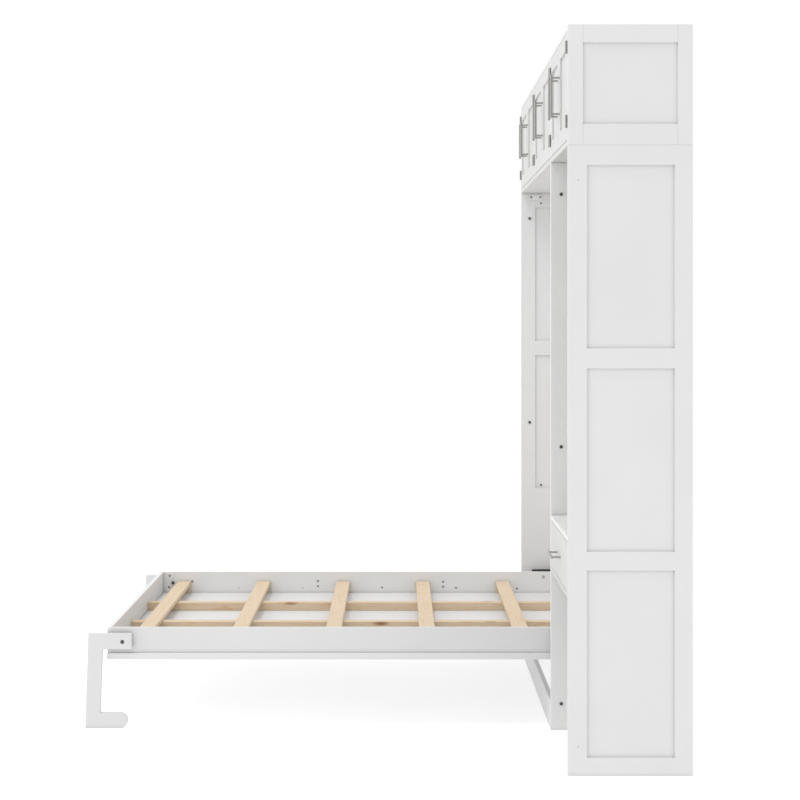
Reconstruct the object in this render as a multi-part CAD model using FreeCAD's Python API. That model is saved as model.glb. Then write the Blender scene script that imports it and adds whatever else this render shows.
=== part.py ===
import FreeCAD, Part
import os

# Wall bed with a desk tower beside it and a row of overhead cupboards.
# Millimetres.  +X runs along the wall towards the tower, +Y towards the wall, +Z up.
# The origin is on the floor, at the middle of the ground that the lowered bed covers.

V = FreeCAD.Vector

# ---- driving dimensions ------------------------------------------------------------
WIDTH = 2150.0                 # whole cabinet, left to right
DEPTH = 414.0                  # cabinet, front to back
LOWER_H = 2090.0               # bed case and tower
TOP_H = 400.0                  # overhead cupboards
TOWER_W = 630.0                # tower, from its outer face to the divider's tower face
SIDE_T = 22.0                  # framed side panels and divider
BOARD_T = 18.0                 # shelves, rails and doors
BACK_T = 6.0
REACH = 1720.0                 # from the cabinet's front to the tips of the bed's legs
GAP = 2.0                      # reveal round doors and the drawer front
FIT = 0.05                     # radial clearance of a pin in its bush

BACK_Y = (REACH + DEPTH) / 2
FRONT_Y = BACK_Y - DEPTH
LEFT_X = -WIDTH / 2
RIGHT_X = WIDTH / 2
TOP_Z = LOWER_H + TOP_H
DIV_R = RIGHT_X - TOWER_W      # divider, tower face
DIV_L = DIV_R - SIDE_T         # divider, bed face
BAY_L = LEFT_X + SIDE_T        # bed bay, left wall
BAY_MID = (BAY_L + DIV_L) / 2
BAY_HALF = (DIV_L - BAY_L) / 2
TOWER_R = RIGHT_X - SIDE_T     # tower, inside of its outer wall
BACKS_Y = BACK_Y - 4.0         # rear face of the thin backs

# framed look of the side panels
RECESS = 7.0
RECESS_SLOPE = 1.5             # how far the recess's walls slope at its floor
JOINT_GROOVE = 1.2             # lines where a stile meets the rails of the top unit
STILE_FRONT = 63.0
STILE_REAR = 60.0
LOWER_WINDOWS = [(60.0, 680.0), (742.0, 1350.0), (1416.0, 2024.0)]
TOP_WINDOW = (LOWER_H + 70.0, TOP_Z - 60.0)
TOP_STILE = 50.0

# bolts that tie the uprights, near their front edges
BOLT_Y = FRONT_Y + 38.0
BOLT_Z = [97.0, 1043.0, 1973.0]
BOLT_HEAD_R = 6.0
BOLT_HEAD_T = 2.5
BOLT_R = 3.0
BOLT_DEPTH = 14.0
HOLE_SPARE = 0.5               # how much deeper a blind hole is than what it holds

# bed case
BASE_H = 100.0
REAR_RAIL_H = 120.0
REAR_RAIL_TOP_Z = LOWER_H - REAR_RAIL_H
WALL_HOLE_R = 4.5
WALL_HOLE_X = 500.0
STOP_T = 3.0
STOP_Z0 = 2058.0
STOP_Z1 = 2082.0
STOP_Y0 = FRONT_Y + 32.0
STOP_Y1 = FRONT_Y + 98.0
STOP_CORNER = 8.0
STOP_SCREW_R = 4.5
STOP_SCREW_T = 2.0
STOP_SCREW_IN = 12.0           # from the plate's end to the screw

# bed
RAIL_T = 16.0
BED_IN = 688.0                 # half the clear width, for a 1372 mm mattress
BED_OUT = BED_IN + RAIL_T
FACE_HALF = 712.0              # half width of the boards that close the bay
FACE_Z = 250.0
FACE_T = 25.0
FACE_CHAMFER = 2.5
DECK_Z = FACE_Z + FACE_T
RAIL_TOP = 368.0
FOOT_Y = FRONT_Y - 1643.0
HEAD_Y = FRONT_Y + 320.0
PIVOT_Y = FRONT_Y + 96.0
PIVOT_Z = 345.0
RUNNER_H = 34.0
RUNNER_W = 45.0
CLEAT_W = 22.0                 # cleats under the slats' ends, on the side rails
CLEAT_L = 52.0
SLAT_T = 18.0
SLAT_W = 60.0
SLAT_PITCH = 360.0
SLAT_COUNT = 6
SLAT_FIRST_Y = FRONT_Y - 1531.0
FACE_BOARDS = 3
FACE_GAP = 2.0
FACE_FRAME = 62.0
FACE_WINDOWS = 3

# swinging legs
LEG_T = 19.0
LEG_PLAY = 0.5                 # between the face boards' edge and the leg
LEG_TOP = 350.0
LEG_ARM_H = 58.0
LEG_FOOT_H = 57.0
LEG_TIP_Y = FRONT_Y - REACH
LEG_POST_Y = FRONT_Y - 1709.0
LEG_POST_IN_Y = FRONT_Y - 1657.0
LEG_FOOT_IN_Y = FRONT_Y - 1665.0
LEG_ARM_END_Y = FRONT_Y - 1549.0
LEG_FOOT_END_Y = FRONT_Y - 1564.0
LEG_HEAD_R = 7.0
LEG_NUT_R = 6.5
LEG_HEAD_SINK = 3.7
LEG_HEAD_PROUD = 0.5
LEG_SPACER_R = 10.0
LEG_NUT_T = 6.0
LEG_PIN_Y = FRONT_Y - 1583.0
LEG_PIN_Z = 319.0
LEG_PIN_R = 5.0

# pivots and gas springs, all in the gap between the bed and the bay's walls
PLATE_T = 5.0
PIN_R = 8.0
BUSH_R = 11.0
COLLAR_R = 14.0
COLLAR_AIR = 0.5
PIN_DEPTH = 11.0               # how far pins and studs go into the bay's walls
CASE_PLATE_Y = (-40.0, 60.0)   # about the bed's pivot
CASE_PLATE_Z = (-45.0, 24.0)
CASE_PLATE_CORNER = 8.0
RAIL_PLATE_FRONT = 45.0        # from the cabinet's front
RAIL_PLATE_REAR = 5.0          # short of the bed's head
RAIL_PLATE_PROUD = 9.0         # above the rail
RAIL_PLATE_UP = 25.0           # from the bed's deck to the plate's lower edge
RAIL_PLATE_CORNER = 6.0
STRUT_HALF = BAY_HALF - 14.0   # plane of the gas springs, from the bay's middle
STRUT_TOP_Y = FRONT_Y + 347.0
STRUT_TOP_Z = 711.0
STRUT_ARM = 200.0              # from the bed's pivot back to the spring's lower end
STRUT_R = 8.5
ROD_R = 4.0
NECK_R = 5.0
TUBE_NECK = 26.0               # along the spring, from its top eye to the tube
TUBE_FLOOR = 34.0              # and to the blind end of the tube's bore
ROD_START = 40.0               # and to the tip of the rod inside it
ROD_NECK = 28.0                # from the low eye back to the rod's neck
TUBE_L = 300.0
EYE_R = 11.0
EYE_HALF = 6.0
EYE_BITE = 1.5                 # how far a neck runs into its eye
STUD_R = 4.0
STUD_NECK_R = 6.0
STUD_GAP = 0.6                 # between the rail's stud and the low eye
WASHER_R = 9.0

# tower
DESK_TOP = 791.0
DRAWER_Z0 = 605.0
DRAWER_BOX_T = 12.0
DRAWER_CLEAR = 13.0            # room for one runner on each side
DRAWER_DEPTH = 350.0
DRAWER_RAISE = 10.0            # box above the front's lower edge
DRAWER_DROP = 22.0             # box below the front's upper edge
SLIDE_H = 35.0
SLIDE_T = 6.2
SLIDE_AIR = 0.4                # between the fixed and the moving member
SLIDE_LIP = 6.0                # moving member inside the fixed one, top and bottom
SLIDE_FRONT = 2.0
SLIDE_REAR = 5.0

# overhead doors
DOOR_Z0 = LOWER_H + BOARD_T + GAP
DOOR_Z1 = TOP_Z - BOARD_T - GAP
MID_DIV = BAY_MID
DOOR_FRAME = 55.0
DOOR_RECESS = 6.0
HINGE_Z = [LOWER_H + 80.0, LOWER_H + 327.0]
HINGE_H = 43.0
HINGE_AXIS_OUT = 4.2           # hinge axis in front of the doors' faces
KNUCKLE_R = 3.8
KNUCKLE_AIR = 0.3
LEAF_AIR = 0.1                 # between a leaf and the wood behind it
HINGE_PIN_R = 1.8
LEAF_T = 1.6
LEAF_W = 16.0
CASE_LEAF_W = 8.0

# bar handles
HANDLE_L = 150.0
HANDLE_R = 4.5
HANDLE_OUT = 30.0
HANDLE_POST_R = 3.5
HANDLE_INSET = 40.0
HANDLE_POST_IN = 12.0          # from the bar's end to the post
BED_PULL_FROM_FOOT = 330.0
BED_PULL_FROM_EDGE = 31.0      # from the middle board's edge

os.makedirs("parts", exist_ok=True)


# ---- helpers -----------------------------------------------------------------------
def box(x0, x1, y0, y1, z0, z1):
    return Part.makeBox(x1 - x0, y1 - y0, z1 - z0, V(x0, y0, z0))


def rod(radius, start, end):
    direction = end - start
    return Part.makeCylinder(radius, direction.Length, start, direction)


def rod_x(radius, x0, x1, y, z):
    return rod(radius, V(x0, y, z), V(x1, y, z))


def softened(x0, x1, y0, y1, z0, z1, size=1.0):
    solid = box(x0, x1, y0, y1, z0, z1)
    return solid.makeChamfer(size, solid.Edges)


def fused(shapes):
    result = shapes[0].multiFuse(shapes[1:])
    return result.removeSplitter()


def group(shapes):
    return Part.makeCompound(shapes)


def save(name, shape):
    shape.exportStep("parts/" + name + ".step")


def pocket(x0, x1, y0, y1, z0, z1, thin):
    """A tray-shaped cut, its walls sloped by a chamfer on the floor's edges."""
    solid = box(x0, x1, y0, y1, z0, z1)
    edges = [e for e in solid.Edges if thin(e)]
    return solid.makeChamfer(RECESS_SLOPE, edges)


# ---- uprights ----------------------------------------------------------------------
def window_cutters(x_face, inward, windows, front, rear):
    """Shallow recesses in a panel's face at x_face; inward is +1 or -1 along X."""
    cutters = []
    for z0, z1 in windows:
        lo, hi = sorted((x_face, x_face + inward * RECESS))
        floor_x = x_face + inward * RECESS

        def on_floor(edge, at=floor_x):
            box_ = edge.BoundBox
            return abs(box_.XMin - at) < 0.01 and abs(box_.XMax - at) < 0.01

        cutters.append(pocket(lo, hi, FRONT_Y + front, BACK_Y - rear, z0, z1, on_floor))
    return cutters


def framed_panel(x0, z0, z1, left_windows, right_windows, front, rear):
    """A side panel with shallow framed windows in its left face, its right face, or both."""
    panel = softened(x0, x0 + SIDE_T, FRONT_Y, BACK_Y, z0, z1)
    cutters = window_cutters(x0, 1, left_windows, front, rear)
    cutters += window_cutters(x0 + SIDE_T, -1, right_windows, front, rear)
    return panel.cut(group(cutters))


def upright_bolts(x_face, out):
    """Bolt heads on an upright's face; out is the way the heads stand proud."""
    bolts = []
    for z in BOLT_Z:
        head = rod_x(BOLT_HEAD_R, x_face, x_face + out * BOLT_HEAD_T, BOLT_Y, z)
        shank = rod_x(BOLT_R, x_face, x_face - out * BOLT_DEPTH, BOLT_Y, z)
        bolts.append(fused([head, shank]))
    return bolts


def bolt_holes(x_face, out):
    return [
        rod_x(BOLT_R + FIT, x_face, x_face - out * (BOLT_DEPTH + HOLE_SPARE), BOLT_Y, z)
        for z in BOLT_Z
    ]


def uprights():
    upper = LOWER_WINDOWS[1:]
    stiles = (STILE_FRONT, STILE_REAR)
    left = framed_panel(LEFT_X, 0, LOWER_H, LOWER_WINDOWS, upper, *stiles)
    left = left.cut(group(bolt_holes(BAY_L, 1) + bay_wall_holes(-1)))
    middle = framed_panel(DIV_L, 0, LOWER_H, upper, [], *stiles)
    middle = middle.cut(group(bolt_holes(DIV_R, 1) + bay_wall_holes(1)))
    right = framed_panel(TOWER_R, 0, LOWER_H, [], LOWER_WINDOWS, *stiles)
    right = right.cut(group(bolt_holes(TOWER_R, -1)))
    save("left_side_panel", left)
    save("middle_upright", middle)
    save("tower_side_panel", right)
    bolts = upright_bolts(BAY_L, 1) + upright_bolts(DIV_R, 1) + upright_bolts(TOWER_R, -1)
    save("upright_bolts", group(bolts))


# ---- bed case ----------------------------------------------------------------------
def bed_case():
    save("base_rail", softened(BAY_L, DIV_L, FRONT_Y, FRONT_Y + BOARD_T, 0, BASE_H))
    for name, z0 in (("rear_bottom_rail", 0.0), ("rear_top_rail", REAR_RAIL_TOP_Z)):
        rail = softened(BAY_L, DIV_L, BACK_Y - BOARD_T, BACK_Y, z0, z0 + REAR_RAIL_H)
        for side in (-1, 1):
            x = BAY_MID + side * WALL_HOLE_X
            z = z0 + REAR_RAIL_H / 2
            rail = rail.cut(rod(WALL_HOLE_R, V(x, BACK_Y - 2 * BOARD_T, z), V(x, BACK_Y + BOARD_T, z)))
        save(name, rail)


def stop_plates():
    """Small steel plates at the top of the bay's walls, with a screw at each end."""
    pieces = []
    for side in (-1, 1):
        wall = BAY_MID + side * BAY_HALF
        face = wall - side * STOP_T
        x0, x1 = sorted((wall, face))
        plate = box(x0, x1, STOP_Y0, STOP_Y1, STOP_Z0, STOP_Z1)
        upright = [e for e in plate.Edges if abs(e.Vertexes[0].X - e.Vertexes[1].X) > 1]
        pieces.append(plate.makeFillet(STOP_CORNER, upright))
        head = face - side * STOP_SCREW_T
        for y in (STOP_Y0 + STOP_SCREW_IN, STOP_Y1 - STOP_SCREW_IN):
            pieces.append(rod_x(STOP_SCREW_R, face, head, y, (STOP_Z0 + STOP_Z1) / 2))
    save("stop_plates", group(pieces))


# ---- bed pivots and gas springs ----------------------------------------------------
def side_x(side, offset):
    """X at a distance from the bay's middle, on the side given by -1 or +1."""
    return BAY_MID + side * offset


def bay_wall_holes(side):
    """Blind holes in a wall of the bay for a gas spring's stud and the bed's pivot."""
    x0 = side_x(side, BAY_HALF)
    x1 = side_x(side, BAY_HALF + PIN_DEPTH + HOLE_SPARE)
    stud = rod_x(STUD_R + FIT, x0, x1, STRUT_TOP_Y, STRUT_TOP_Z)
    return [stud, rod_x(PIN_R + FIT, x0, x1, PIVOT_Y, PIVOT_Z)]


def case_plate(side):
    x0, x1 = sorted((side_x(side, BAY_HALF - PLATE_T), side_x(side, BAY_HALF)))
    y0, y1 = (PIVOT_Y + step for step in CASE_PLATE_Y)
    z0, z1 = (PIVOT_Z + step for step in CASE_PLATE_Z)
    plate = box(x0, x1, y0, y1, z0, z1)
    corners = [e for e in plate.Edges if e.BoundBox.XLength > PLATE_T / 2]
    plate = plate.makeFillet(CASE_PLATE_CORNER, corners)
    return plate.cut(rod_x(PIN_R + FIT, x0 - 1, x1 + 1, PIVOT_Y, PIVOT_Z))


def pivot_pin(side):
    wall_end = side_x(side, BAY_HALF + PIN_DEPTH)
    pin = rod_x(PIN_R, side_x(side, BED_IN + 1), wall_end, PIVOT_Y, PIVOT_Z)
    collar = rod_x(
        COLLAR_R,
        side_x(side, BED_OUT + PLATE_T + COLLAR_AIR),
        side_x(side, BAY_HALF - PLATE_T - COLLAR_AIR),
        PIVOT_Y,
        PIVOT_Z,
    )
    return fused([pin, collar])


def bush(side):
    x0 = side_x(side, BED_IN)
    x1 = side_x(side, BED_OUT + PLATE_T)
    outer = rod_x(BUSH_R, x0, x1, PIVOT_Y, PIVOT_Z)
    return outer.cut(rod_x(PIN_R + FIT, x0, x1, PIVOT_Y, PIVOT_Z))


def rail_plate(side):
    """Black steel plate on the outside of a bed rail, a little taller than the rail."""
    x0, x1 = sorted((side_x(side, BED_OUT), side_x(side, BED_OUT + PLATE_T)))
    z0 = DECK_Z + RAIL_PLATE_UP
    z1 = RAIL_TOP + RAIL_PLATE_PROUD
    plate = box(x0, x1, FRONT_Y + RAIL_PLATE_FRONT, HEAD_Y - RAIL_PLATE_REAR, z0, z1)
    corners = [e for e in plate.Edges if e.BoundBox.XLength > PLATE_T / 2]
    plate = plate.makeFillet(RAIL_PLATE_CORNER, corners)
    plate = plate.cut(rod_x(BUSH_R + FIT, x0 - 1, x1 + 1, PIVOT_Y, PIVOT_Z))
    stud_end = side_x(side, STRUT_HALF - EYE_HALF - STUD_GAP)
    stud_y = PIVOT_Y + STRUT_ARM
    stud = rod_x(STUD_NECK_R, side_x(side, BED_OUT + PLATE_T), stud_end, stud_y, PIVOT_Z)
    return fused([plate, stud])


def strut_ends():
    top = V(0, STRUT_TOP_Y, STRUT_TOP_Z)
    low = V(0, PIVOT_Y + STRUT_ARM, PIVOT_Z)
    return top, low


def eye(side, centre, hole_r):
    x0 = side_x(side, STRUT_HALF - EYE_HALF)
    x1 = side_x(side, STRUT_HALF + EYE_HALF)
    ring = rod_x(EYE_R, x0, x1, centre.y, centre.z)
    return ring.cut(rod_x(hole_r, x0, x1, centre.y, centre.z))


def at_x(point, x):
    return V(x, point.y, point.z)


def strut_tube(side):
    top, low = strut_ends()
    along = (low - top).normalize()
    x = side_x(side, STRUT_HALF)
    start = at_x(top + along * (EYE_R - EYE_BITE), x)
    neck_end = at_x(top + along * TUBE_NECK, x)
    end = at_x(top + along * TUBE_L, x)
    body = fused([
        eye(side, top, STUD_R + FIT),
        rod(NECK_R, start, neck_end + along),
        rod(STRUT_R, neck_end, end),
    ])
    bore = rod(ROD_R + FIT, at_x(top + along * TUBE_FLOOR, x), end + along)
    return body.cut(bore)


def strut_rod(side):
    top, low = strut_ends()
    along = (low - top).normalize()
    x = side_x(side, STRUT_HALF)
    start = at_x(top + along * ROD_START, x)
    end = at_x(low - along * (EYE_R - EYE_BITE), x)
    neck = rod(NECK_R, at_x(low - along * ROD_NECK, x), end)
    return fused([rod(ROD_R, start, end), neck, eye(side, low, STUD_R)])


def strut_stud(side):
    shank = rod_x(
        STUD_R,
        side_x(side, STRUT_HALF - EYE_HALF - 1),
        side_x(side, BAY_HALF + PIN_DEPTH),
        STRUT_TOP_Y,
        STRUT_TOP_Z,
    )
    washer = rod_x(
        WASHER_R,
        side_x(side, STRUT_HALF + EYE_HALF + STUD_GAP),
        side_x(side, BAY_HALF),
        STRUT_TOP_Y,
        STRUT_TOP_Z,
    )
    return fused([shank, washer])


def bed_hardware():
    pairs = {
        "case_pivot_plates": case_plate,
        "pivot_pins": pivot_pin,
        "pivot_bushes": bush,
        "rail_pivot_plates": rail_plate,
        "gas_spring_studs": strut_stud,
    }
    for name, make in pairs.items():
        save(name, group([make(-1), make(1)]))
    for side, word in ((-1, "left"), (1, "right")):
        save(word + "_gas_spring_tube", strut_tube(side))
        save(word + "_gas_spring_rod", strut_rod(side))


# ---- bed frame ---------------------------------------------------------------------
def side_rail(side):
    x0, x1 = sorted((side_x(side, BED_IN), side_x(side, BED_OUT)))
    rail = softened(x0, x1, FOOT_Y + RAIL_T, HEAD_Y - RAIL_T, DECK_Z, RAIL_TOP)
    rail = rail.cut(rod_x(BUSH_R + FIT, x0 - 1, x1 + 1, PIVOT_Y, PIVOT_Z))
    return rail.cut(rod_x(LEG_PIN_R + FIT, x0 - 1, x1 + 1, LEG_PIN_Y, LEG_PIN_Z))


def end_rail(y0):
    return softened(
        side_x(-1, BED_OUT), side_x(1, BED_OUT), y0, y0 + RAIL_T, DECK_Z, RAIL_TOP
    )


def face_board(index):
    """One of the boards that are the floor of the lowered bed and its front when shut."""
    pitch = (2 * FACE_HALF + FACE_GAP) / FACE_BOARDS
    x0 = side_x(-1, FACE_HALF) + index * pitch
    x1 = x0 + pitch - FACE_GAP
    board = softened(x0, x1, FOOT_Y, HEAD_Y, FACE_Z, DECK_Z, FACE_CHAMFER)
    clear = (HEAD_Y - FOOT_Y - FACE_FRAME) / FACE_WINDOWS
    cutters = []
    for number in range(FACE_WINDOWS):
        y0 = FOOT_Y + FACE_FRAME + number * clear
        cutters.append(pocket(
            x0 + FACE_FRAME, x1 - FACE_FRAME, y0, y0 + clear - FACE_FRAME,
            FACE_Z, FACE_Z + RECESS,
            lambda e: abs(e.BoundBox.ZMin - FACE_Z - RECESS) < 0.01,
        ))
    return board.cut(group(cutters))


def slat_y(number):
    return SLAT_FIRST_Y + number * SLAT_PITCH


def slat_cleats():
    """A short block on each side rail under each end of a slat."""
    cleats = []
    for side in (-1, 1):
        x0, x1 = sorted((side_x(side, BED_IN - CLEAT_W), side_x(side, BED_IN)))
        for number in range(SLAT_COUNT):
            y0 = slat_y(number) - CLEAT_L / 2
            z1 = DECK_Z + RUNNER_H
            cleats.append(softened(x0, x1, y0, y0 + CLEAT_L, DECK_Z, z1))
    return cleats


def slat_runner(side):
    x0 = side_x(side, BED_IN / 3) - RUNNER_W / 2
    return softened(
        x0, x0 + RUNNER_W, FOOT_Y + RAIL_T, HEAD_Y - RAIL_T, DECK_Z, DECK_Z + RUNNER_H
    )


def slat(number):
    y = slat_y(number)
    z0 = DECK_Z + RUNNER_H
    half = BED_IN - 1
    return softened(
        side_x(-1, half), side_x(1, half), y - SLAT_W / 2, y + SLAT_W / 2, z0, z0 + SLAT_T, 2.0
    )


def bed_frame():
    save("left_bed_rail", side_rail(-1))
    save("right_bed_rail", side_rail(1))
    save("foot_rail", end_rail(FOOT_Y))
    save("head_rail", end_rail(HEAD_Y - RAIL_T))
    for index, word in enumerate(("left", "middle", "right")):
        save("face_board_" + word, face_board(index))
    save("slat_cleats", group(slat_cleats()))
    save("slat_runners", group([slat_runner(-1), slat_runner(1)]))
    save("slats", group([slat(number) for number in range(SLAT_COUNT)]))


# ---- legs --------------------------------------------------------------------------
def leg(side):
    """Hook-shaped leg: short arm on the rail, leaning post, long foot with a round tip."""
    radius = LEG_FOOT_H / 2
    arm_z = LEG_TOP - LEG_ARM_H
    foot_mid = LEG_FOOT_END_Y - radius
    x = side_x(side, FACE_HALF + LEG_PLAY)
    lines = [
        (LEG_TIP_Y, 0), (LEG_POST_Y, LEG_TOP), (LEG_ARM_END_Y, LEG_TOP),
        (LEG_ARM_END_Y, arm_z), (LEG_POST_IN_Y, arm_z), (LEG_FOOT_IN_Y, LEG_FOOT_H),
        (foot_mid, LEG_FOOT_H),
    ]
    points = [V(x, y, z) for y, z in lines]
    edges = [Part.makeLine(a, b) for a, b in zip(points, points[1:])]
    tip = V(x, LEG_FOOT_END_Y, radius)
    heel = V(x, foot_mid, 0)
    edges.append(Part.Arc(points[-1], tip, heel).toShape())
    edges.append(Part.makeLine(heel, points[0]))
    plate = Part.Face(Part.Wire(edges)).extrude(V(side * LEG_T, 0, 0))
    plate = plate.makeChamfer(1.0, [e for e in plate.Edges if e.BoundBox.XLength < 0.1])
    face_x = x + side * LEG_T
    plate = plate.cut(rod_x(LEG_PIN_R + FIT, x, face_x, LEG_PIN_Y, LEG_PIN_Z))
    recess_x = face_x - side * (LEG_HEAD_SINK + HOLE_SPARE)
    return plate.cut(rod_x(LEG_HEAD_R + HOLE_SPARE, recess_x, face_x, LEG_PIN_Y, LEG_PIN_Z))


def leg_pin(side):
    """Bolt that the leg swings on: shank through the rail, head sunk in the leg."""
    face_x = side_x(side, FACE_HALF + LEG_PLAY + LEG_T)
    head_in = face_x - side * LEG_HEAD_SINK
    head_out = face_x + side * LEG_HEAD_PROUD
    nut_in = side_x(side, BED_IN - LEG_NUT_T)
    rail_out = side_x(side, BED_OUT)
    spacer_out = side_x(side, FACE_HALF)
    shank = rod_x(LEG_PIN_R, nut_in, head_in, LEG_PIN_Y, LEG_PIN_Z)
    head = rod_x(LEG_HEAD_R, head_in, head_out, LEG_PIN_Y, LEG_PIN_Z)
    spacer = rod_x(LEG_SPACER_R, rail_out, spacer_out, LEG_PIN_Y, LEG_PIN_Z)
    nut = rod_x(LEG_NUT_R, nut_in, side_x(side, BED_IN), LEG_PIN_Y, LEG_PIN_Z)
    return fused([shank, head, spacer, nut])


def legs():
    for side, word in ((-1, "left"), (1, "right")):
        save(word + "_leg", leg(side))
    save("leg_bolts", group([leg_pin(-1), leg_pin(1)]))


# ---- tower -------------------------------------------------------------------------
def tower():
    y1 = BACKS_Y - BACK_T
    save("tower_back", box(DIV_R, TOWER_R, y1, BACKS_Y, 0, LOWER_H))
    save("desk_top", softened(DIV_R, TOWER_R, FRONT_Y, y1, DESK_TOP - BOARD_T, DESK_TOP))
    floor_z = DRAWER_Z0 - GAP
    save("drawer_floor", softened(DIV_R, TOWER_R, FRONT_Y, y1, floor_z - BOARD_T, floor_z))


def drawer():
    z1 = DESK_TOP - BOARD_T - GAP
    front = softened(DIV_R + GAP, TOWER_R - GAP, FRONT_Y, FRONT_Y + BOARD_T, DRAWER_Z0, z1)
    save("drawer_front", front)
    x0 = DIV_R + DRAWER_CLEAR
    x1 = TOWER_R - DRAWER_CLEAR
    y0 = FRONT_Y + BOARD_T
    y1 = y0 + DRAWER_DEPTH
    z0 = DRAWER_Z0 + DRAWER_RAISE
    top = z1 - DRAWER_DROP
    t = DRAWER_BOX_T
    walls = [box(x0, x0 + t, y0, y1, z0, top), box(x1 - t, x1, y0, y1, z0, top)]
    save("drawer_sides", group(walls))
    save("drawer_back", box(x0 + t, x1 - t, y1 - t, y1, z0, top))
    save("drawer_bottom", box(x0 + t, x1 - t, y0, y1 - t, z0, z0 + BACK_T))
    mid = (z0 + top) / 2
    fixed = []
    moving = []
    low = mid - SLIDE_H / 2
    high = mid + SLIDE_H / 2
    rear = y1 - SLIDE_REAR
    for wall, side in ((DIV_R, 1), (TOWER_R, -1)):
        a, b = sorted((wall, wall + side * SLIDE_T))
        fixed.append(box(a, b, y0 + 2 * SLIDE_FRONT, rear, low, high))
        a, b = sorted((wall + side * (SLIDE_T + SLIDE_AIR), wall + side * DRAWER_CLEAR))
        moving.append(box(a, b, y0 + SLIDE_FRONT, rear, low + SLIDE_LIP, high - SLIDE_LIP))
    save("drawer_slides_fixed", group(fixed))
    save("drawer_slides_moving", group(moving))


# ---- handles -----------------------------------------------------------------------
def bar_handle(centre, along, out):
    """Round bar on two posts.  centre lies on the face; out points away from it."""
    middle = centre + out * HANDLE_OUT
    half = along * (HANDLE_L / 2)
    step = along * (HANDLE_L / 2 - HANDLE_POST_IN)
    pieces = [rod(HANDLE_R, middle - half, middle + half)]
    for shift in (step * -1, step):
        pieces.append(rod(HANDLE_POST_R, centre + shift, middle + shift))
    return fused(pieces)


def tower_and_bed_handles():
    drawer_mid = V((DIV_R + TOWER_R) / 2, FRONT_Y, (DRAWER_Z0 + DESK_TOP - BOARD_T - GAP) / 2)
    save("drawer_handle", bar_handle(drawer_mid, V(1, 0, 0), V(0, -1, 0)))
    pull_x = FACE_HALF / FACE_BOARDS + BED_PULL_FROM_EDGE
    pulls = []
    for side in (-1, 1):
        centre = V(side_x(side, pull_x), FOOT_Y + BED_PULL_FROM_FOOT, FACE_Z)
        pulls.append(bar_handle(centre, V(0, 1, 0), V(0, 0, -1)))
    save("bed_pull_handles", group(pulls))


# ---- overhead cupboards ------------------------------------------------------------
def bays():
    """The three overhead bays, each as its inner left and right X."""
    return [
        ("left", BAY_L, MID_DIV - BOARD_T / 2),
        ("middle", MID_DIV + BOARD_T / 2, DIV_L),
        ("right", DIV_R, TOWER_R),
    ]


def joint_grooves(x_face):
    """Fine upright lines in a top side's outer face, where its stiles meet its rails."""
    half = JOINT_GROOVE / 2
    edges = (FRONT_Y + TOP_STILE, BACK_Y - TOP_STILE)
    return [box(x_face - half, x_face + half, y - half, y + half, LOWER_H, TOP_Z) for y in edges]


def top_case():
    stiles = (TOP_STILE, TOP_STILE)
    left = framed_panel(LEFT_X, LOWER_H, TOP_Z, [TOP_WINDOW], [], *stiles)
    right = framed_panel(TOWER_R, LOWER_H, TOP_Z, [], [TOP_WINDOW], *stiles)
    left = left.cut(group(joint_grooves(LEFT_X)))
    right = right.cut(group(joint_grooves(RIGHT_X)))
    save("top_sides", group([left, right]))
    y1 = BACKS_Y - BACK_T
    for word, z0 in (("bottom", LOWER_H), ("lid", TOP_Z - BOARD_T)):
        save("top_case_" + word, softened(BAY_L, TOWER_R, FRONT_Y, y1, z0, z0 + BOARD_T))
    z0 = LOWER_H + BOARD_T
    z1 = TOP_Z - BOARD_T
    thin = box(MID_DIV - BOARD_T / 2, MID_DIV + BOARD_T / 2, FRONT_Y, y1, z0, z1)
    save("top_dividers", group([thin, box(DIV_L, DIV_R, FRONT_Y, y1, z0, z1)]))
    save("top_back", box(BAY_L, TOWER_R, y1, BACKS_Y, LOWER_H, TOP_Z))


def door(x0, x1):
    panel = softened(x0, x1, FRONT_Y, FRONT_Y + BOARD_T, DOOR_Z0, DOOR_Z1)
    cutter = pocket(
        x0 + DOOR_FRAME, x1 - DOOR_FRAME, FRONT_Y, FRONT_Y + DOOR_RECESS,
        DOOR_Z0 + DOOR_FRAME, DOOR_Z1 - DOOR_FRAME,
        lambda e: abs(e.BoundBox.YMin - FRONT_Y - DOOR_RECESS) < 0.01,
    )
    return panel.cut(cutter)


def hinge_axis_y():
    return FRONT_Y - HINGE_AXIS_OUT


def knuckles(x, z_centre, which):
    """Barrel of a hinge in three parts: the middle turns with the door, the ends stay."""
    third = HINGE_H / 3
    low = z_centre - HINGE_H / 2
    if which == "door":
        spans = [(low + third + KNUCKLE_AIR, low + 2 * third - KNUCKLE_AIR)]
    else:
        spans = [(low, low + third), (low + 2 * third, low + HINGE_H)]
    y = hinge_axis_y()
    return [rod(KNUCKLE_R, V(x, y, a), V(x, y, b)) for a, b in spans]


def hinge_half(x, z_centre, side, which):
    """A leaf with its share of the barrel; side is the leaf's way along X."""
    y = hinge_axis_y()
    leaf_w = LEAF_W if which == "door" else CASE_LEAF_W
    solids = []
    for barrel in knuckles(x, z_centre, which):
        box_ = barrel.BoundBox
        a, b = sorted((x, x + side * leaf_w))
        leaf = box(a, b, FRONT_Y - LEAF_T - LEAF_AIR, FRONT_Y - LEAF_AIR, box_.ZMin, box_.ZMax)
        solids.append(fused([barrel, leaf]))
    bore_r = HINGE_PIN_R + FIT
    bore = rod(bore_r, V(x, y, z_centre - HINGE_H), V(x, y, z_centre + HINGE_H))
    return [solid.cut(bore) for solid in solids]


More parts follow.
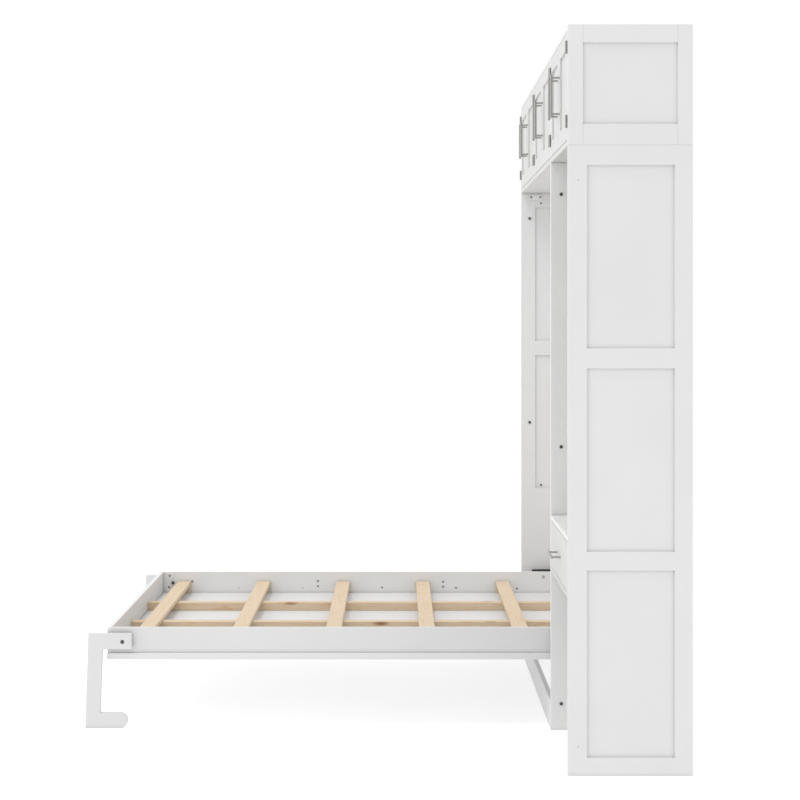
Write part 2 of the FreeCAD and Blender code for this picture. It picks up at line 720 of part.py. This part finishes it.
def overhead_doors():
    fixed = []
    pins = []
    y = hinge_axis_y()
    for word, x0, x1 in bays():
        middle = (x0 + x1) / 2
        for side, part in ((1, "a"), (-1, "b")):
            hung = x0 if side > 0 else x1
            name = "door_" + word + "_" + part
            edges = sorted((hung + side * GAP, middle - side * GAP / 2))
            save(name, door(edges[0], edges[1]))
            axis_x = hung + side * GAP / 2
            moving = []
            for z in HINGE_Z:
                moving += hinge_half(axis_x, z, side, "door")
                fixed += hinge_half(axis_x, z, -side, "case")
                half = HINGE_H / 2
                pins.append(rod(HINGE_PIN_R, V(axis_x, y, z - half), V(axis_x, y, z + half)))
            grip_x = middle - side * HANDLE_INSET
            grip = V(grip_x, FRONT_Y, (DOOR_Z0 + DOOR_Z1) / 2)
            moving.append(bar_handle(grip, V(0, 0, 1), V(0, -1, 0)))
            save(name + "_hardware", group(moving))
    save("case_hinge_leaves", group(fixed))
    save("hinge_pins", group(pins))


uprights()
bed_case()
stop_plates()
bed_hardware()
bed_frame()
legs()
tower()
drawer()
tower_and_bed_handles()
top_case()
overhead_doors()
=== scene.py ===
import math
import random

import bmesh
import bpy
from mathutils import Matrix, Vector


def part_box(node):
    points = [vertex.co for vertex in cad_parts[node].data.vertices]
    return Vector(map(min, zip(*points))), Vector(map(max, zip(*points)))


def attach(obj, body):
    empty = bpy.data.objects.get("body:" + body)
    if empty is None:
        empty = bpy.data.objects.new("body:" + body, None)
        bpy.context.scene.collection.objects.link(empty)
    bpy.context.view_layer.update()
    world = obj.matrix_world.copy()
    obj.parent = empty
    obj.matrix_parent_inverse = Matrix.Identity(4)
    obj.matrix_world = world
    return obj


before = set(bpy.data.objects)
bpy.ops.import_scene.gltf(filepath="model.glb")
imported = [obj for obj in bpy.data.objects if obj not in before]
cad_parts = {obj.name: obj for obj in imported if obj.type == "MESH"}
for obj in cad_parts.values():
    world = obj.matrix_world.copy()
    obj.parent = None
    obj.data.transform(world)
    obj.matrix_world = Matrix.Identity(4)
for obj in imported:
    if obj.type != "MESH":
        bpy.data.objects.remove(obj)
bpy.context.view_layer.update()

# Looks for the wall bed.  Metres.  +X along the wall to the tower, +Y to the wall, +Z up.

random.seed(11)

MM = 0.001
UP_Z, TO_FRONT, TO_WALL = (0, 0, 1), (0, -1, 0), (0, 1, 0)


def span(node):
    """Lowest and highest corner of a CAD node, as vectors."""
    low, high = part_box(node)
    return Vector(low), Vector(high)


FRONT_Y = span("base_rail")[0].y
FLOOR_Z = 0.0
LEFT_FACE_X = span("left_side_panel")[0].x
TOWER_FACE_X = span("tower_side_panel")[1].x

# Each cupboard door, with the way its face runs from its own hinge along X.
DOORS = [
    ("door_" + bay + "_" + leaf, side)
    for bay in ("left", "middle", "right")
    for leaf, side in (("a", 1), ("b", -1))
]


# ---- sizes of the fixings ----------------------------------------------------------
HEAD_SINK = 0.5 * MM
HEAD_STEPS = 16

SLAT_COUNT = 6
SLAT_HALF_W = 30 * MM
SLAT_SCREW_R = 4.2 * MM
SLAT_SCREW_APART = 14 * MM          # either side of the slat's middle
SLAT_SCREW_STRAY = 2 * MM
SLAT_SCREW_INSET = 10 * MM          # from the slat's end
RUNNER_HALF_W = 22.5 * MM

# Screws on a bed rail's inner face: mm from the cabinet's front, and mm above the floor.
RAIL_SCREWS = [
    (-1598, 350), (-1601, 298), (-1495, 325), (-926, 326), (-926, 303),
    (-635, 297), (-359, 323), (-359, 301), (-300, 296), (-24, 292),
]
RAIL_PLUGS = [(-1284, 296), (-995, 296)]
RAIL_SCREW_R = 4.8 * MM
RAIL_PLUG_R = 4.2 * MM

STOP_PLATE_T = 5 * MM
STOP_SCREW_INSET = 12 * MM
STOP_TO_SCREW = 27 * MM             # down to the screw under the stop plate
BAY_SCREW_DEPTH = 90 * MM           # behind the cabinet's front
BAY_SCREW_LOW_Z = 757 * MM
BAY_SCREW_R = 4.6 * MM

KNUCKLE_R = 3.8 * MM
LEAF_T = 1.7 * MM
LEAF_END = 6.87 * MM                # from the hardware's end to its door leaf's middle
DOOR_LEAF_REACH = 10.5 * MM         # hinge axis to the door leaf's screw
CASE_LEAF_REACH = 5.8 * MM
CASE_LEAF_OFFSET = 14.3 * MM        # door leaf's middle to each half of the case leaf
DOOR_LEAF_SCREW_R = 2.6 * MM
CASE_LEAF_SCREW_R = 1.7 * MM

PIVOT_PLATE_T = 5 * MM
RAIL_PLATE_STEPS = [14 * MM, 92 * MM, 128 * MM, 164 * MM, 200 * MM]
RAIL_PLATE_RISE = 14 * MM
CASE_PLATE_INSET_Y = 12 * MM
CASE_PLATE_INSET_Z = 11 * MM
PLATE_SCREW_R = 4 * MM

LEG_SCREW_AWAY = 22 * MM            # behind the leg's bolt
LEG_SCREW_DROP = 2 * MM
LEG_SCREW_R = 3 * MM

SPRING_EYE = 11 * MM                # from a spring's end to the middle of its eye
RING_STEPS = 28
# Rings on a spring: along it from the eye, then inner radius, outer radius and length.
TUBE_RINGS = [
    (31 * MM, 8.4 * MM, 9.1 * MM, 5 * MM),
    (290 * MM, 8.4 * MM, 9.1 * MM, 8 * MM),
    (302 * MM, 4.2 * MM, 7.4 * MM, 4 * MM),
]
ROD_NUT = (24 * MM, 4.9 * MM, 7.2 * MM, 6 * MM)

BRAD_R = 2.4 * MM
BRAD_INSET = 12 * MM
BRAD_PITCH = 160 * MM
BRAD_STRAY = 3 * MM

BOLT_HEAD_R = 6 * MM
CAP_FORWARD = 4 * MM
CAP_PROFILE = [(2.6 * MM, -0.5 * MM), (2.6 * MM, 0.3 * MM), (1.2 * MM, 0.6 * MM)]


# ---- node helpers ------------------------------------------------------------------
class Graph:
    """A material's node tree, with short calls to add nodes and join them."""

    def __init__(self, name):
        self.material = bpy.data.materials.new(name)
        self.material.use_nodes = True
        self.tree = self.material.node_tree
        self.shader = self.tree.nodes["Principled BSDF"]

    def add(self, kind, **values):
        node = self.tree.nodes.new(kind)
        for key, value in values.items():
            setattr(node, key, value)
        return node

    def join(self, output, target):
        self.tree.links.new(output, target)

    def plug(self, target, value):
        """Joins a socket to the target, or sets the target to a colour or a number."""
        if isinstance(value, bpy.types.NodeSocket):
            self.join(value, target)
        elif isinstance(value, tuple):
            target.default_value = (*value, 1.0)
        else:
            target.default_value = value

    def coords(self, scale=(1, 1, 1), shift=(0, 0, 0)):
        source = self.add("ShaderNodeTexCoord")
        mapping = self.add("ShaderNodeMapping")
        mapping.inputs["Scale"].default_value = scale
        mapping.inputs["Location"].default_value = shift
        self.join(source.outputs["Object"], mapping.inputs["Vector"])
        return mapping.outputs["Vector"]

    def noise(self, vector, scale, detail=3.0, rough=0.5, distortion=0.0):
        node = self.add("ShaderNodeTexNoise")
        node.inputs["Scale"].default_value = scale
        node.inputs["Detail"].default_value = detail
        node.inputs["Roughness"].default_value = rough
        node.inputs["Distortion"].default_value = distortion
        self.join(vector, node.inputs["Vector"])
        return node.outputs["Fac"]

    def ramp(self, fac, stops):
        node = self.add("ShaderNodeValToRGB")
        elements = node.color_ramp.elements
        while len(elements) < len(stops):
            elements.new(0.5)
        for element, (at, colour) in zip(elements, stops):
            element.position = at
            element.color = (*colour, 1.0)
        self.join(fac, node.inputs["Fac"])
        return node.outputs["Color"]

    def scaled(self, fac, low, high):
        node = self.add("ShaderNodeMapRange")
        node.inputs["To Min"].default_value = low
        node.inputs["To Max"].default_value = high
        self.join(fac, node.inputs["Value"])
        return node.outputs["Result"]

    def mixed(self, fac, first, second):
        node = self.add("ShaderNodeMix", data_type="RGBA")
        self.plug(node.inputs["Factor"], fac)
        self.plug(node.inputs[6], first)
        self.plug(node.inputs[7], second)
        return node.outputs[2]

    def maths(self, kind, first, second=0.0):
        node = self.add("ShaderNodeMath", operation=kind)
        self.plug(node.inputs[0], first)
        self.plug(node.inputs[1], second)
        return node.outputs[0]

    def bump(self, height, strength, distance, under=None):
        node = self.add("ShaderNodeBump")
        node.inputs["Strength"].default_value = strength
        node.inputs["Distance"].default_value = distance
        self.join(height, node.inputs["Height"])
        if under is not None:
            self.join(under, node.inputs["Normal"])
        return node.outputs["Normal"]

    def edge_mask(self, radius, gain):
        """Near 1 on convex edges and near 0 on flats, from the bevelled normal."""
        bevel = self.add("ShaderNodeBevel", samples=6)
        bevel.inputs["Radius"].default_value = radius
        geometry = self.add("ShaderNodeNewGeometry")
        dot = self.add("ShaderNodeVectorMath", operation="DOT_PRODUCT")
        self.join(bevel.outputs["Normal"], dot.inputs[0])
        self.join(geometry.outputs["Normal"], dot.inputs[1])
        away = self.maths("SUBTRACT", 1.0, dot.outputs["Value"])
        edge_amount = self.maths("MULTIPLY", away, gain)
        edge_amount.node.use_clamp = True
        return edge_amount

    def crevice_shade(self, reach):
        """Near 1 in joints and narrow corners, 0 on open faces: ambient occlusion, used as a mask for
        painted shade.
        """
        node = self.add("ShaderNodeAmbientOcclusion", samples=6)
        node.inputs["Distance"].default_value = reach
        occlusion_shade = self.maths("SUBTRACT", 1.0, node.outputs["AO"])
        occlusion_shade = self.maths("MULTIPLY", occlusion_shade, 0.9)
        occlusion_shade.node.use_clamp = True
        return occlusion_shade

    def finish(self, colour, roughness, normal=None, metallic=0.0):
        self.plug(self.shader.inputs["Base Color"], colour)
        self.plug(self.shader.inputs["Roughness"], roughness)
        self.shader.inputs["Metallic"].default_value = metallic
        if normal is not None:
            self.join(normal, self.shader.inputs["Normal"])
        return self.material


def shade(tone, gain, lift=0.0):
    return tuple(min(1.0, c * gain + lift) for c in tone)


def stretched(across, along, axis):
    """A texture scale that is drawn out along one axis: 0 for X, 1 for Y, 2 for Z."""
    scale = [across, across, across]
    scale[axis] = along
    return tuple(scale)


# ---- materials ---------------------------------------------------------------------
RUBBED_EDGE = (0.66, 0.655, 0.64)
BARE_METAL = (0.20, 0.20, 0.20)
PINE_PALE = (0.660, 0.535, 0.390)
PINE_MID = (0.640, 0.475, 0.300)
PINE_DEEP = (0.520, 0.350, 0.190)
PINE_SAP = (0.685, 0.55, 0.395)
PINE_PORE = (0.52, 0.33, 0.17)
PINE_KNOT = (0.30, 0.155, 0.07)
NICKEL_TONE = (0.40, 0.395, 0.38)


def lacquer(name, tone, seed):
    """Matt white paint over fibreboard: faint spray texture, edges rubbed a little thin, and painted
    shade darkening its joints and corners.
    """
    g = Graph(name)
    place = g.coords(shift=(seed, seed * 0.7, 0))
    clouds = g.noise(place, 3.0, 4.0)
    peel = g.noise(place, 420.0, 2.0)
    fibre = g.noise(g.coords(scale=stretched(1, 0.12, 2), shift=(seed, 0, 0)), 90.0, 4.0, 0.6)
    colour = g.ramp(clouds, [(0.3, shade(tone, 0.975)), (0.7, shade(tone, 1.012))])
    edge_amount = g.edge_mask(1.6 * MM, 1.6)
    colour = g.mixed(g.maths("MULTIPLY", edge_amount, 0.20), colour, RUBBED_EDGE)
    # Painted shade: joints and narrow corners darkened towards a shaded copy of the tone.
    colour = g.mixed(g.crevice_shade(14 * MM), colour, shade(tone, 0.68))
    rough = g.scaled(g.noise(place, 14.0, 3.0), 0.48, 0.60)
    normal = g.bump(peel, 0.10, 0.4 * MM)
    normal = g.bump(fibre, 0.05, 0.6 * MM, normal)
    g.shader.inputs["Specular IOR Level"].default_value = 0.26
    return g.finish(colour, rough, normal)


def pine(name, along, seed):
    """Bare planed pine with its grain along the given axis: 0 for X, 1 for Y."""
    g = Graph(name)
    place = g.coords(scale=stretched(14.0, 0.9, along), shift=(seed, seed * 1.3, seed * 0.4))
    warp = g.noise(place, 1.1, 4.0, 0.55, 0.6)
    rings = g.maths("SINE", g.maths("MULTIPLY", warp, 46.0))
    rings = g.scaled(g.maths("ABSOLUTE", rings), 0.0, 1.0)
    pores = g.noise(g.coords(scale=stretched(300.0, 9.0, along)), 1.0, 3.0)
    board = g.noise(g.coords(scale=(2.4, 2.4, 2.4), shift=(seed, 0, 0)), 1.0, 1.0)
    grain = g.ramp(rings, [(0.0, PINE_DEEP), (0.16, PINE_MID), (0.55, PINE_PALE), (1.0, PINE_PALE)])
    colour = g.mixed(g.scaled(board, 0.0, 0.55), grain, PINE_SAP)
    colour = g.mixed(g.scaled(pores, 0.0, 0.22), colour, PINE_PORE)
    knots = g.add("ShaderNodeTexVoronoi", feature="F1")
    knots.inputs["Scale"].default_value = 1.0
    knot_place = g.coords(scale=stretched(9.0, 2.4, along), shift=(seed * 2, seed, 0.3))
    g.join(knot_place, knots.inputs["Vector"])
    knot = g.ramp(knots.outputs["Distance"], [(0.03, (1, 1, 1)), (0.10, (0, 0, 0))])
    colour = g.mixed(knot, colour, PINE_KNOT)
    normal = g.bump(rings, 0.12, 0.6 * MM)
    normal = g.bump(pores, 0.20, 0.5 * MM, normal)
    return g.finish(colour, g.scaled(pores, 0.52, 0.72), normal)


def brushed(name, tone, along, rough_low, rough_high):
    """Brushed metal; along is the axis the brush marks run on. Its edges are lightened, partly as wear
    and partly as a painted highlight.
    """
    g = Graph(name)
    marks = g.noise(g.coords(scale=stretched(900.0, 25.0, along)), 1.0, 3.0)
    smudge = g.noise(g.coords(), 22.0, 3.0)
    colour = g.ramp(marks, [(0.25, shade(tone, 0.82)), (0.75, tone)])
    edge_amount = g.edge_mask(0.6 * MM, 2.0)
    # Edges lightened: partly wear, partly a painted highlight.
    colour = g.mixed(g.maths("MULTIPLY", edge_amount, 0.5), colour, shade(tone, 1.5))
    rough = g.scaled(smudge, rough_low, rough_high)
    return g.finish(colour, rough, g.bump(marks, 0.18, 0.2 * MM), metallic=1.0)


def powder_coat(name, tone):
    """Gritty dark paint on steel, worn a little on its edges."""
    g = Graph(name)
    grit = g.noise(g.coords(), 900.0, 2.0)
    haze = g.noise(g.coords(), 30.0, 3.0)
    colour = g.ramp(haze, [(0.3, tone), (0.8, shade(tone, 1.7, 0.004))])
    edge_amount = g.edge_mask(0.8 * MM, 2.2)
    colour = g.mixed(g.maths("MULTIPLY", edge_amount, 0.35), colour, BARE_METAL)
    rough = g.scaled(haze, 0.38, 0.52)
    return g.finish(colour, rough, g.bump(grit, 0.25, 0.3 * MM))


def moulded(name, tone):
    """Moulded plastic with a fine grain."""
    g = Graph(name)
    grit = g.noise(g.coords(), 700.0, 2.0)
    haze = g.noise(g.coords(), 40.0, 2.0)
    colour = g.ramp(haze, [(0.2, shade(tone, 0.93)), (0.8, tone)])
    return g.finish(colour, g.scaled(haze, 0.35, 0.5), g.bump(grit, 0.12, 0.2 * MM))


# One white paint in four copies. The door and frame copies are darker as painted shade on the fronts
# and the near rail. The inner copy is lighter as painted light in the cavities.
PANEL_WHITE = lacquer("panel_white", (0.68, 0.68, 0.68), 0.0)
DOOR_WHITE_SHADED = lacquer("door_white_shaded", (0.61, 0.61, 0.607), 3.1)
FRAME_WHITE_SHADED = lacquer("frame_white_shaded", (0.66, 0.656, 0.656), 5.7)
INNER_WHITE_LIT = lacquer("inner_white_lit", (0.74, 0.738, 0.735), 8.2)
PINE_ACROSS = pine("pine_across", 0, 1.7)
PINE_ALONG = pine("pine_along", 1, 4.9)
NICKEL = brushed("dark_nickel", NICKEL_TONE, 2, 0.28, 0.42)
NICKEL_FLAT = brushed("dark_nickel_flat", NICKEL_TONE, 0, 0.28, 0.42)
DARK_STEEL = brushed("dark_steel", (0.105, 0.103, 0.10), 0, 0.35, 0.5)
ZINC = brushed("zinc_steel", (0.62, 0.63, 0.65), 1, 0.25, 0.40)
BLACK = powder_coat("black_steel", (0.012, 0.012, 0.013))
NYLON = moulded("nylon", (0.80, 0.79, 0.74))
CAP = moulded("grey_cap", (0.47, 0.47, 0.46))

DRESSING = [
    (PANEL_WHITE, [
        "left_side_panel", "tower_side_panel", "top_sides",
        "face_board_left", "face_board_middle", "face_board_right",
    ]),
    (INNER_WHITE_LIT, [
        "middle_upright", "tower_back", "top_back", "top_dividers", "top_case_lid", "stop_plates",
        "base_rail", "rear_bottom_rail", "rear_top_rail", "desk_top", "drawer_sides", "drawer_back",
        "drawer_bottom", "left_bed_rail", "foot_rail", "head_rail",
    ]),
    (DOOR_WHITE_SHADED, ["drawer_front", "drawer_floor", "top_case_bottom"] + [name for name, side in DOORS]),
    (FRAME_WHITE_SHADED, ["right_bed_rail", "left_leg", "right_leg"]),
    (PINE_ACROSS, ["slats"]),
    (PINE_ALONG, ["slat_runners", "slat_cleats"]),
    (NICKEL, ["case_hinge_leaves", "hinge_pins"] + [name + "_hardware" for name, side in DOORS]),
    (NICKEL_FLAT, ["drawer_handle", "bed_pull_handles"]),
    (DARK_STEEL, ["upright_bolts", "leg_bolts"]),
    (ZINC, [
        "left_gas_spring_rod", "right_gas_spring_rod", "gas_spring_studs", "pivot_pins",
        "drawer_slides_fixed", "drawer_slides_moving",
    ]),
    (BLACK, [
        "left_gas_spring_tube", "right_gas_spring_tube", "rail_pivot_plates", "case_pivot_plates",
    ]),
    (NYLON, ["pivot_bushes"]),
]


def dress_frame():
    for material, nodes in DRESSING:
        for name in nodes:
            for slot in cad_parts[name].material_slots:
                slot.material = material


# ---- mesh helpers ------------------------------------------------------------------
def new_piece(name, mesh_maker, material, body):
    """One dressing piece: mesh_maker fills its mesh, and it rides on a CAD body."""
    mesh = bpy.data.meshes.new(name)
    work = bmesh.new()
    mesh_maker(work)
    bmesh.ops.recalc_face_normals(work, faces=work.faces)
    work.to_mesh(mesh)
    work.free()
    piece = bpy.data.objects.new(name, mesh)
    bpy.context.scene.collection.objects.link(piece)
    mesh.materials.append(material)
    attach(piece, body)


def lathe(work, profile, origin, axis, steps):
    """Turns a profile of (radius, height) points about an axis through origin."""
    turn = Vector(UP_Z).rotation_difference(Vector(axis).normalized()).to_matrix()
    rings = []
    for radius, height in profile:
        around = []
        for number in range(steps):
            angle = 2 * math.pi * number / steps
            point = Vector((radius * math.cos(angle), radius * math.sin(angle), height))
            around.append(work.verts.new(Vector(origin) + turn @ point))
        rings.append(around)
    for low, high in zip(rings, rings[1:]):
        for number in range(steps):
            after = (number + 1) % steps
            work.faces.new((low[number], low[after], high[after], high[number]))
    work.faces.new(rings[0])
    work.faces.new(rings[-1])


def screw_head(work, radius, place, axis):
    """A low rounded head with a hollow for the driver, sunk into the face behind it."""
    profile = [
        (radius, -HEAD_SINK), (radius, 0.0), (radius * 0.86, HEAD_SINK * 0.5),
        (radius * 0.45, HEAD_SINK * 0.62), (radius * 0.40, -HEAD_SINK * 0.5),
    ]
    lathe(work, profile, place, axis, HEAD_STEPS)


def seat_screws(name, places, axis, radius, material, body):
    """One piece of several screw heads, all facing along axis."""
    def make(work):
        for place in places:
            screw_head(work, radius, place, axis)

    new_piece(name, make, material, body)


def ring(work, centre, axis, inner, outer, length):
    """A short sleeve with chamfered ends, centred on a point of its axis."""
    edge = min(outer - inner, length) * 0.35
    half = length / 2
    profile = [
        (inner, -half), (outer - edge, -half), (outer, edge - half),
        (outer, half - edge), (outer - edge, half), (inner, half),
    ]
    lathe(work, profile, centre, axis, RING_STEPS)


def facing_x(side):
    """Along +X for side 1, along -X for side -1."""
    return (side, 0, 0)


# ---- small fixings -----------------------------------------------------------------
def slat_lines():
    """Y of each slat's middle, from the ends of the row of slats."""
    low, high = span("slats")
    first, last = low.y + SLAT_HALF_W, high.y - SLAT_HALF_W
    return [first + (last - first) * k / (SLAT_COUNT - 1) for k in range(SLAT_COUNT)]


def slat_screws():
    """Two screws where each slat crosses a runner or rests on a cleat."""
    low, high = span("slats")
    runners = span("slat_runners")
    lines = [
        low.x + SLAT_SCREW_INSET, runners[0].x + RUNNER_HALF_W,
        runners[1].x - RUNNER_HALF_W, high.x - SLAT_SCREW_INSET,
    ]
    places = []
    for y in slat_lines():
        for x in lines:
            for dy in (-SLAT_SCREW_APART, SLAT_SCREW_APART):
                stray = random.uniform(-SLAT_SCREW_STRAY, SLAT_SCREW_STRAY)
                places.append((x + stray, y + dy, high.z))
    seat_screws("slat_screws", places, UP_Z, SLAT_SCREW_R, ZINC, "bed")


def rail_screws():
    """Dark screws and pale plugs on the inner faces of the bed's rails."""
    for side, word in ((1, "left"), (-1, "right")):
        low, high = span(word + "_bed_rail")
        x = high.x if side > 0 else low.x
        dark = [(x, FRONT_Y + y * MM, z * MM) for y, z in RAIL_SCREWS]
        pale = [(x, FRONT_Y + y * MM, z * MM) for y, z in RAIL_PLUGS]
        axis = facing_x(side)
        seat_screws(word + "_rail_screws", dark, axis, RAIL_SCREW_R, BLACK, "bed")
        seat_screws(word + "_rail_plugs", pale, axis, RAIL_PLUG_R, CAP, "bed")


def bay_wall_screws():
    """Dark screws on the bay's walls: on the stop plates, under them, and lower down."""
    low, high = span("stop_plates")
    mid_z = (low.z + high.z) / 2
    y = FRONT_Y + BAY_SCREW_DEPTH
    for side, word, x in ((1, "left", low.x), (-1, "right", high.x)):
        plate_x = x + side * STOP_PLATE_T
        places = [
            (plate_x, low.y + STOP_SCREW_INSET, mid_z),
            (plate_x, high.y - STOP_SCREW_INSET, mid_z),
            (x, y, mid_z - STOP_TO_SCREW),
            (x, y, BAY_SCREW_LOW_Z),
        ]
        name = "bay_wall_screws_" + word
        seat_screws(name, places, facing_x(side), BAY_SCREW_R, BLACK, "cabinet")


def panel_caps():
    """Small caps level with the uprights' bolts, on the cabinet's outer faces."""
    low, high = span("upright_bolts")
    y = (low.y + high.y) / 2 - CAP_FORWARD

    def make(work):
        for z in (low.z + BOLT_HEAD_R, high.z - BOLT_HEAD_R):
            for x, side in ((TOWER_FACE_X, 1), (LEFT_FACE_X, -1)):
                lathe(work, CAP_PROFILE, (x, y, z), facing_x(side), HEAD_STEPS)

    new_piece("outer_caps", make, CAP, "cabinet")


def hinge_screws():
    """One screw in each door leaf and in each half of the case leaf."""
    y = FRONT_Y - LEAF_T
    case_places = []
    for name, side in DOORS:
        low, high = span(name + "_hardware")
        axis_x = low.x + KNUCKLE_R if side > 0 else high.x - KNUCKLE_R
        door_places = []
        for z in (low.z + LEAF_END, high.z - LEAF_END):
            door_places.append((axis_x + side * DOOR_LEAF_REACH, y, z))
            for dz in (-CASE_LEAF_OFFSET, CASE_LEAF_OFFSET):
                case_places.append((axis_x - side * CASE_LEAF_REACH, y, z + dz))
        seat_screws(
            name + "_hinge_screws", door_places, TO_FRONT, DOOR_LEAF_SCREW_R, NICKEL, name
        )
    seat_screws(
        "case_hinge_screws", case_places, TO_FRONT, CASE_LEAF_SCREW_R, NICKEL, "cabinet"
    )


def plate_screws():
    """Screws that hold the pivot plates to the rails and to the bay's walls."""
    plate_low = span("rail_pivot_plates")[0]
    case_low, case_high = span("case_pivot_plates")
    for side, word in ((-1, "left"), (1, "right")):
        low, high = span(word + "_bed_rail")
        outer = (low.x if side < 0 else high.x) + side * PIVOT_PLATE_T
        row = [(outer, plate_low.y + step, plate_low.z + RAIL_PLATE_RISE) for step in RAIL_PLATE_STEPS]
        seat_screws(
            word + "_rail_plate_screws", row, facing_x(side), PLATE_SCREW_R, ZINC, "bed"
        )
        wall = (case_low.x if side < 0 else case_high.x) - side * PIVOT_PLATE_T
        corners = [
            (wall, y, z)
            for y in (case_low.y + CASE_PLATE_INSET_Y, case_high.y - CASE_PLATE_INSET_Y)
            for z in (case_low.z + CASE_PLATE_INSET_Z, case_high.z - CASE_PLATE_INSET_Z)
        ]
        seat_screws(
            word + "_case_plate_screws", corners, facing_x(-side), PLATE_SCREW_R, ZINC,
            "cabinet",
        )


def leg_screws():
    """A small screw beside each leg's bolt, near the arm's end."""
    bolt_low, bolt_high = span("leg_bolts")
    y = (bolt_low.y + bolt_high.y) / 2 + LEG_SCREW_AWAY
    z = (bolt_low.z + bolt_high.z) / 2 - LEG_SCREW_DROP
    for side, word in ((-1, "left"), (1, "right")):
        low, high = span(word + "_leg")
        place = (low.x if side < 0 else high.x, y, z)
        seat_screws(
            word + "_leg_screw", [place], facing_x(side), LEG_SCREW_R, ZINC, word + "_leg"
        )


def spring_fittings():
    """Crimped collars and a scraper on each tube, and a lock nut at each rod's eye."""
    for word in ("left", "right"):
        tube_low, tube_high = span(word + "_gas_spring_tube")
        rod_low = span(word + "_gas_spring_rod")[0]
        x = (tube_low.x + tube_high.x) / 2
        top = Vector((x, tube_high.y - SPRING_EYE, tube_high.z - SPRING_EYE))
        bottom = Vector((x, rod_low.y + SPRING_EYE, rod_low.z + SPRING_EYE))
        along = (bottom - top).normalized()

        def on_tube(work):
            for away, inner, outer, length in TUBE_RINGS:
                ring(work, top + along * away, along, inner, outer, length)

        def on_rod(work):
            away, inner, outer, length = ROD_NUT
            ring(work, bottom - along * away, along, inner, outer, length)

        new_piece(word + "_spring_collars", on_tube, ZINC, word + "_spring_tube")
        new_piece(word + "_spring_nut", on_rod, ZINC, word + "_spring_rod")


def brads():
    """Small nail heads round the thin backs, on the cabinet's rear."""
    places = []
    for node in ("tower_back", "top_back"):
        low, high = span(node)
        size = high - low
        rows = max(2, round(size.z / BRAD_PITCH))
        columns = max(2, round(size.x / BRAD_PITCH))
        for k in range(rows + 1):
            z = low.z + BRAD_INSET + (size.z - 2 * BRAD_INSET) * k / rows
            stray = random.uniform(-BRAD_STRAY, BRAD_STRAY)
            places.append((low.x + BRAD_INSET + stray, high.y, z))
            places.append((high.x - BRAD_INSET + stray, high.y, z))
        for k in range(1, columns):
            x = low.x + BRAD_INSET + (size.x - 2 * BRAD_INSET) * k / columns
            for z in (low.z + BRAD_INSET, high.z - BRAD_INSET):
                places.append((x, high.y, z + random.uniform(-BRAD_STRAY, BRAD_STRAY)))
    seat_screws("back_brads", places, TO_WALL, BRAD_R, ZINC, "cabinet")


dress_frame()
slat_screws()
rail_screws()
bay_wall_screws()
panel_caps()
hinge_screws()
plate_screws()
leg_screws()
spring_fittings()
brads()


# ---- stage, light and camera -------------------------------------------------------
CAMERA_FORWARD = 0.563              # in front of the cabinet's front
CAMERA_Z = 1.510
CAMERA_AWAY = 5.630                 # from the tower's outer face
LENS_MM = 76.5
SENSOR_MM = 36.0
SHIFT_X = 0.0025
SHIFT_Y = -0.1

FLOOR_HALF = 30.0
FLOOR_BELOW = 0.5 * MM
FLOOR_TONES = ((0.55, 0.55, 0.55), (0.57, 0.57, 0.57))
FLOOR_GLOW = 0.56
SKY = 1.05


def stage_material():
    """Matt white that also glows a little, so shadows stay faint.  Clear from below."""
    g = Graph("stage_white")
    fleck = g.noise(g.coords(), 2.0, 2.0)
    colour = g.ramp(fleck, [(0.3, FLOOR_TONES[0]), (0.7, FLOOR_TONES[1])])
    g.shader.inputs["Emission Color"].default_value = (1.0, 1.0, 1.0, 1.0)
    g.shader.inputs["Emission Strength"].default_value = FLOOR_GLOW
    side = g.add("ShaderNodeNewGeometry")
    g.join(g.maths("SUBTRACT", 1.0, side.outputs["Backfacing"]), g.shader.inputs["Alpha"])
    return g.finish(colour, 0.9)


def stage():
    mesh = bpy.data.meshes.new("floor")
    work = bmesh.new()
    bmesh.ops.create_grid(work, x_segments=1, y_segments=1, size=FLOOR_HALF)
    work.to_mesh(mesh)
    work.free()
    floor = bpy.data.objects.new("floor", mesh)
    floor.location = (0, 0, FLOOR_Z - FLOOR_BELOW)
    mesh.materials.append(stage_material())
    bpy.context.scene.collection.objects.link(floor)


def area_light(name, place, target, size, power):
    """A square lamp at a place, aimed at a target."""
    data = bpy.data.lights.new(name, "AREA")
    data.size = size
    data.energy = power
    lamp = bpy.data.objects.new(name, data)
    lamp.location = place
    lamp.rotation_euler = (Vector(target) - Vector(place)).to_track_quat("-Z", "Y").to_euler()
    bpy.context.scene.collection.objects.link(lamp)


def lights():
    world = bpy.data.worlds.new("studio")
    world.use_nodes = True
    background = world.node_tree.nodes["Background"]
    background.inputs["Color"].default_value = (1.0, 1.0, 1.0, 1.0)
    background.inputs["Strength"].default_value = SKY
    bpy.context.scene.world = world
    area_light("overhead", (1.8, -2.4, 9.0), (0.6, -0.2, 0.6), 2.0, 165)
    area_light("fill", (0.7, -5.6, 3.7), (0.1, 0.2, 0.8), 2.5, 28)
    bpy.context.scene.view_settings.view_transform = "Standard"


def camera():
    """Looks straight along -X at the tower's side; the lens shift frames the bed."""
    data = bpy.data.cameras.new("camera")
    data.lens = LENS_MM
    data.sensor_width = SENSOR_MM
    data.shift_x = SHIFT_X
    data.shift_y = SHIFT_Y
    eye = bpy.data.objects.new("camera", data)
    eye.location = (TOWER_FACE_X + CAMERA_AWAY, FRONT_Y - CAMERA_FORWARD, CAMERA_Z)
    eye.rotation_euler = (math.pi / 2, 0, math.pi / 2)
    bpy.context.scene.collection.objects.link(eye)
    bpy.context.scene.camera = eye


stage()
lights()
camera()
